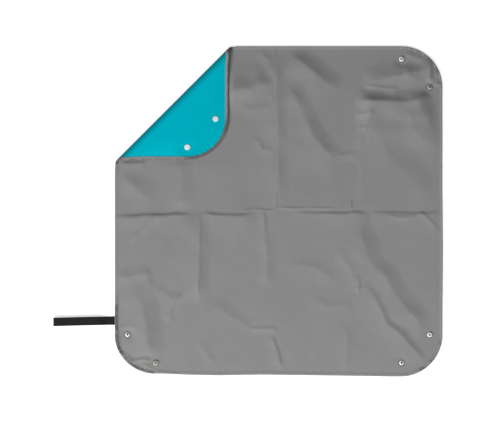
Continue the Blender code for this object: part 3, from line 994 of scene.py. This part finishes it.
# The tape's marked colour is soil, and also painted shade and painted shadow where the mask reaches the
# fold's ends and the turned corner's edge
tape_material = cloth_material(
    "grey_binding_tape", light=(0.328, 0.326, 0.325), dark=(0.286, 0.284, 0.283), slub_share=0.5,
    threads_per_metre=1700.0, weave_depth=0.00016,
    finish={"Roughness": 0.8, "Specular IOR Level": 0.25, "Sheen Weight": 0.08, "Sheen Roughness": 0.5},
    mark=grime_and_painted_shade, marked=(0.085, 0.085, 0.083),
)

# Each length of the tape: its ends and their mitres, the bodies it bends between, and its nodes
tape_lengths = {
    "main": (
        (seam_distance, outline_length - seam_distance, -1, 1),
        ("front_half", "rear_half", *half_fold_zone),
        ("front_binding", "rear_left_binding", "rear_right_binding"),
    ),
    "roll_right": (
        (split_distance, seam_distance, -1, 0),
        ("rear_half", "corner_roll", *roll_zone),
        ("roll_right_binding",),
    ),
    "roll_left": (
        (outline_length - seam_distance, outline_length - split_distance, 0, 1),
        ("rear_half", "corner_roll", *roll_zone),
        ("roll_left_binding",),
    ),
    "corner": (
        (-split_distance, split_distance, 1, -1),
        ("corner_roll", "turned_corner", *corner_zone),
        ("corner_binding",),
    ),
}
for place, (ends, bodies, nodes) in tape_lengths.items():
    tape = tape_piece(f"binding_{place}", *ends)
    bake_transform(tape)
    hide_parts(*nodes)


# Sewing thread
# A lockstitch in grey polyester thread runs round the binding, a row of short stitches on each side.
# Each stitch lies on the tape and dips into it at both ends.
thread_material, tree, shader = start_material("grey_thread")
twist = noise_node(tree, add_node(tree, "TexCoord").outputs["Object"], 900.0)
thread_tone = mix_colours(tree, twist, (0.16, 0.16, 0.16), (0.26, 0.26, 0.255))
set_inputs(tree, shader, {"Base Color": thread_tone, "Roughness": 0.6})
stitch_pitch = 0.0034
stitch_length = 0.0029
stitch_radius = 0.00026
stitch_row_inset = 0.0063
stitch_row_heights = (0.00047, -0.00192)
stitch_shares = (-1.0, -0.55, 0.0, 0.55, 1.0)
stitch_sides = 6
stitch_end_fullness = 1.15
stitch_flatness = 0.8
stitch_dip = 0.00028
tape_middle_height = -0.00065


def stitch_row(start, end, inset, height):
    """Points of a row of stitches round the edge, ring by ring, as distances, insets and heights."""
    count = int((end - start) / stitch_pitch)
    middles = start + (np.arange(count) + 0.5) * (end - start) / count
    share = np.array(stitch_shares)[None, :, None]
    turn = (math.tau * np.arange(stitch_sides) / stitch_sides)[None, None, :]
    thickness = stitch_radius * np.sqrt(stitch_end_fullness - share**2)
    dip = -np.sign(height - tape_middle_height) * stitch_dip * share**2
    distances = middles[:, None, None] + share * stitch_length / 2 + 0 * turn
    insets = inset + thickness * np.cos(turn) + 0 * distances
    heights = height + dip + stitch_flatness * thickness * np.sin(turn) + 0 * distances
    return distances, insets, heights


for place, ((start, end, start_mitre, end_mitre), bodies, nodes) in tape_lengths.items():
    row_start = start + start_mitre * stitch_row_inset
    row_end = end + end_mitre * stitch_row_inset
    rows = [stitch_row(row_start, row_end, stitch_row_inset, height) for height in stitch_row_heights]
    distances, insets, heights = (np.concatenate(parts) for parts in zip(*rows))
    faces = tube_faces(len(stitch_shares), stitch_sides, tubes=len(distances), clockwise=True)
    distances, insets, heights = distances.ravel(), insets.ravel(), heights.ravel()
    heights += tape_puckers(distances) * np.where(heights > tape_middle_height, 1, -1)
    points = turned_over(at_edge(distances, insets), heights)
    stitches = made_piece(f"stitches_{place}", points, faces, thread_material)
    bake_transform(stitches)


# Strap loop
# Black ribbed elastic webbing, 20 mm wide, folded end to end. Its two ends are tacked together and
# caught under the binding at the left edge. The loop goes round the mat when it is folded.
strap_low, strap_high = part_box("strap_loop")
strap_reach = strap_high.x - strap_low.x
strap_middle = (strap_low.y + strap_high.y) / 2
webbing_fullness = 0.0003
strap_half_width = (strap_high.y - strap_low.y) / 2 + webbing_fullness
strap_height = strap_high.z
webbing_thickness = 0.0012
tack_length = 0.012
strap_rise_length = 0.032
strap_slant = 0.0032
strap_slant_power = 1.4
rib_count = 13
rib_depth = 0.00012
steps_per_rib = 6
webbing_edge_power = 16
strap_steps = 46
strap_end_steps = 15


def strap_side_line():
    """Side view of the webbing's middle: out along the table, round the end and back over the top."""
    radius = strap_height / 2 - webbing_thickness / 2
    end_middle = strap_reach - strap_height / 2
    low = webbing_thickness / 2
    out = np.linspace(0, end_middle, strap_steps)
    turn = np.linspace(-math.pi / 2, math.pi / 2, strap_end_steps)[1:-1]
    back = out[::-1]
    sewn = 3 * low
    top = sewn + (strap_height - low - sewn) * eased((back - tack_length) / strap_rise_length)
    return np.concatenate((
        np.column_stack((out, np.full_like(out, low))),
        np.column_stack((end_middle + radius * np.cos(turn), strap_height / 2 + radius * np.sin(turn))),
        np.column_stack((back, top)),
    ))


side_line = strap_side_line()
side_step = np.gradient(side_line, axis=0)
side_normal = np.column_stack((side_step[:, 1], -side_step[:, 0]))
side_normal /= np.linalg.norm(side_normal, axis=1)[:, None]
rib_places = np.linspace(-1, 1, steps_per_rib * rib_count + 1)
rib_edge = np.sqrt(np.clip(1 - rib_places**webbing_edge_power, 0, 1))
rib_height = (webbing_thickness / 2 - rib_depth) * rib_edge
rib_height = rib_height + rib_depth * np.abs(np.sin(rib_places * rib_count * math.pi / 2)) * rib_edge
webbing_across = np.concatenate((rib_places, rib_places[-2:0:-1])) * strap_half_width
webbing_height = np.concatenate((rib_height, -rib_height[-2:0:-1]))
webbing_ring = len(webbing_across)
reach_out = side_line[:, None, 0] + side_normal[:, None, 0] * webbing_height
strap_x = strap_high.x - reach_out
strap_y = strap_middle + webbing_across - strap_slant * (reach_out / strap_reach) ** strap_slant_power
strap_z = side_line[:, None, 1] + side_normal[:, None, 1] * webbing_height
webbing_material = cloth_material(
    "black_elastic_webbing", light=(0.017, 0.017, 0.0175), dark=(0.010, 0.010, 0.0105), slub_share=0.6,
    threads_per_metre=1200.0, weave_depth=0.00020,
    finish={"Roughness": 0.75, "Specular IOR Level": 0.2, "Sheen Weight": 0.04, "Sheen Roughness": 0.4},
)
strap_walk = np.repeat(walked_along(side_line), webbing_ring)
strap = made_piece(
    "strap", np.stack((strap_x, strap_y, strap_z), axis=-1).reshape(-1, 3),
    tube_faces(len(side_line), webbing_ring, clockwise=True), webbing_material,
    np.column_stack((strap_walk, np.tile(webbing_across, len(side_line)))),
)
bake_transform(strap)
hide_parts("strap_loop")


# Press snaps
# Moulded white plastic, one socket and one stud near each corner. Each is held by a cap on the teal side,
# whose pin goes through both cloths and is pressed flat inside the socket or the stud.
turn_steps = 48
hollow_fade = 0.0005
snap_face_height = 0.0005
socket_profile = (
    (0.0015, 0.0003), (0.0060, 0.0003), (0.0063, 0.00045), (0.0063, 0.00075), (0.0061, 0.00095),
    (0.00505, 0.0011), (0.00485, 0.0013), (0.0048, 0.0024), (0.00465, 0.00275), (0.0044, 0.0029),
    (0.0031, 0.0029), (0.0028, 0.0028), (0.00266, 0.00255), (0.00275, 0.00235), (0.00295, 0.0022),
    (0.00295, 0.0010), (0.0015, 0.0010),
)
stud_profile = (
    (0.0015, 0.0003), (0.0054, 0.0003), (0.0056, 0.00045), (0.0056, 0.0007), (0.0054, 0.0009),
    (0.00275, 0.0011), (0.0025, 0.00125), (0.0025, 0.0019), (0.0026, 0.00205), (0.00275, 0.0023),
    (0.00265, 0.0026), (0.00245, 0.00272), (0.00215, 0.00272), (0.0020, 0.0026), (0.0020, 0.0010),
    (0.0015, 0.0010),
)
cap_profile = (
    (0.0, -0.0026), (0.0040, -0.00258), (0.0062, -0.00252), (0.0068, -0.00235), (0.0070, -0.0020),
    (0.00695, -0.00175), (0.0066, -0.0016), (0.0012, -0.0016), (0.0012, 0.0013), (0.00165, 0.0013),
    (0.0017, 0.0015), (0.0016, 0.00165), (0.0012, 0.00178), (0.0, 0.0018),
)


def turned_snap(name, material, place, profile):
    """A snap's piece turned about its axis at a place on the flat cloth, and laid where the cloth lies."""
    ring = profile if profile[0][0] > 0 else profile[1:-1]
    radius, height = (np.array(column) for column in zip(*ring))
    turn = math.tau * np.arange(turn_steps) / turn_steps
    spokes = np.column_stack((np.cos(turn), np.sin(turn)))
    flat = place + (radius[None, :, None] * spokes[:, None, :]).reshape(-1, 2)
    heights = np.tile(height, turn_steps)
    index = np.arange(turn_steps * len(ring)).reshape(turn_steps, len(ring))
    onward = np.roll(index, -1, axis=0)
    below, above = slice(None, -1), slice(1, None)
    faces = np.stack((index[:, below], onward[:, below], onward[:, above], index[:, above]), axis=-1)
    faces = faces.reshape(-1, 4).tolist()
    if profile[0][0] > 0:
        faces += np.column_stack((index[:, -1], onward[:, -1], onward[:, 0], index[:, 0])).tolist()
    else:
        flat = np.vstack((flat, place, place))
        heights = np.append(heights, (profile[0][1], profile[-1][1]))
        bottom, top = len(flat) - 2, len(flat) - 1
        faces += [(onward[i, 0], index[i, 0], bottom) for i in range(turn_steps)]
        faces += [(index[i, -1], onward[i, -1], top) for i in range(turn_steps)]
    turned_place = np.column_stack((np.linalg.norm(flat - place, axis=1), heights))
    return made_piece(
        name, turned_over(flat, heights), faces, material, turned_place, "radius_and_height",
        sharp_edge_angle,
    )


def snap_material(name, colour, shade, soil_and_shade, hollow_radius):
    """Moulded plastic with a faint cloudiness, and its hollow darkened with painted shade."""
    material, tree, shader = start_material(name)
    cloud = noise_node(tree, add_node(tree, "TexCoord").outputs["Object"], 420.0, 4.0)
    radius, height, _ = add_node(tree, "SeparateXYZ", {0: add_node(tree, "UVMap").outputs[0]}).outputs
    near_axis = map_range(tree, radius, hollow_radius, hollow_radius + hollow_fade, 1.0, 0.0)
    on_face = math_node(tree, "GREATER_THAN", height, snap_face_height)
    hollow = math_node(tree, "MULTIPLY", near_axis, on_face)
    set_inputs(tree, shader, {
        "Base Color": mix_colours(tree, hollow, mix_colours(tree, cloud, colour, shade), soil_and_shade),
        "Roughness": map_range(tree, cloud, 0.0, 1.0, 0.28, 0.42),
        "Normal": add_node(
            tree, "Bump", {"Height": cloud, "Strength": 0.2, "Distance": 0.00005}
        ).outputs[0],
    })
    return material


white = ((0.93, 0.93, 0.925), (0.86, 0.86, 0.85))
# Two snaps take a darker, yellowed copy of the plastic: its yellow is discoloured plastic, and its darkness
# is painted shade from the wrinkles they sit in
dulled_and_shaded = ((0.55, 0.55, 0.49), (0.40, 0.40, 0.35))
socket_hollow_radius = 0.0027
stud_hollow_radius = 0.0022
# Each finish's third colour is painted shade in the snap's hollow
snap_finishes = {
    "socket": snap_material("white_plastic", *white, (0.45, 0.45, 0.44), socket_hollow_radius),
    "stud": snap_material("white_plastic_stud", *white, (0.06, 0.06, 0.06), stud_hollow_radius),
    "dulled_socket": snap_material("dulled_plastic", *dulled_and_shaded, (0.25, 0.25, 0.22), socket_hollow_radius),
    "dulled_stud": snap_material("dulled_plastic_stud", *dulled_and_shaded, (0.10, 0.10, 0.09), stud_hollow_radius),
}
dulled_and_shaded_snaps = ("front_left_socket", "rear_right_stud")
snap_bodies = {"front": "front_half", "rear_right": "rear_half", "rear_left": "turned_corner"}
for name, place in snap_places.items():
    body = next(snap_bodies[part] for part in snap_bodies if name.startswith(part))
    kind = name.rsplit("_", 1)[1]
    shape = socket_profile if kind == "socket" else stud_profile
    finish = snap_finishes[f"dulled_{kind}" if name in dulled_and_shaded_snaps else kind]
    for piece_name, profile in ((name, shape), (f"{name}_cap", cap_profile)):
        snap = turned_snap(f"white_{piece_name}", finish, place, profile)
        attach(snap, body)
        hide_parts(piece_name)


# Table and light
# A pale table that shows plain white to the camera, and a broad soft lamp low at the front left, so that
# every crease that falls away from it darkens. A weak lamp above the front and a pale room fill in.
table_half = 12.0
table_z = -0.0003
table_glow = 0.55
table_material, tree, shader = start_material("pale_table")
set_inputs(tree, shader, {"Base Color": (0.86, 0.86, 0.86, 1), "Roughness": 0.9, "Specular IOR Level": 0.0})
ray = add_node(tree, "LightPath").outputs
seen = math_node(tree, "MAXIMUM", ray["Is Glossy Ray"], ray["Is Transmission Ray"])
seen = math_node(tree, "MAXIMUM", ray["Is Camera Ray"], seen)
glow_strength = math_node(tree, "MULTIPLY", seen, table_glow)
glow = add_node(tree, "Emission", {"Color": (1, 1, 1, 1), "Strength": glow_strength})
both = add_node(tree, "AddShader", {0: shader.outputs[0], 1: glow.outputs[0]})
set_inputs(tree, tree.nodes["Material Output"], {"Surface": both.outputs[0]})
table_corners = np.array(((-1, -1, 0), (1, -1, 0), (1, 1, 0), (-1, 1, 0))) * table_half
table_top = made_piece("table_top", table_corners + (0, 0, table_z), [(0, 1, 2, 3)], table_material)

room_strength = 0.20
world = bpy.data.worlds.new("pale_room")
world.use_nodes = True
bpy.context.scene.world = world
tree = world.node_tree
ray = add_node(tree, "LightPath").outputs
strength = mix_numbers(tree, ray["Is Camera Ray"], room_strength, 1.0)
set_inputs(tree, tree.nodes["Background"], {"Color": (1, 1, 1, 1), "Strength": strength})


def soft_lamp(name, place, width, power):
    """A square lamp that faces the mat's middle."""
    lamp = bpy.data.objects.new(name, bpy.data.lights.new(name, "AREA"))
    lamp.data.size = width
    lamp.data.energy = power
    lamp.location = place
    lamp.rotation_mode = "QUATERNION"
    lamp.rotation_quaternion = Vector(place).to_track_quat("Z", "Y")
    bpy.context.collection.objects.link(lamp)


soft_lamp("front_left_lamp", place=(-3.0, -3.9, 3.1), width=2.5, power=320.0)
soft_lamp("front_lamp", place=(0.3, -1.3, 2.2), width=1.6, power=14.0)

bpy.context.scene.view_settings.view_transform = "Standard"
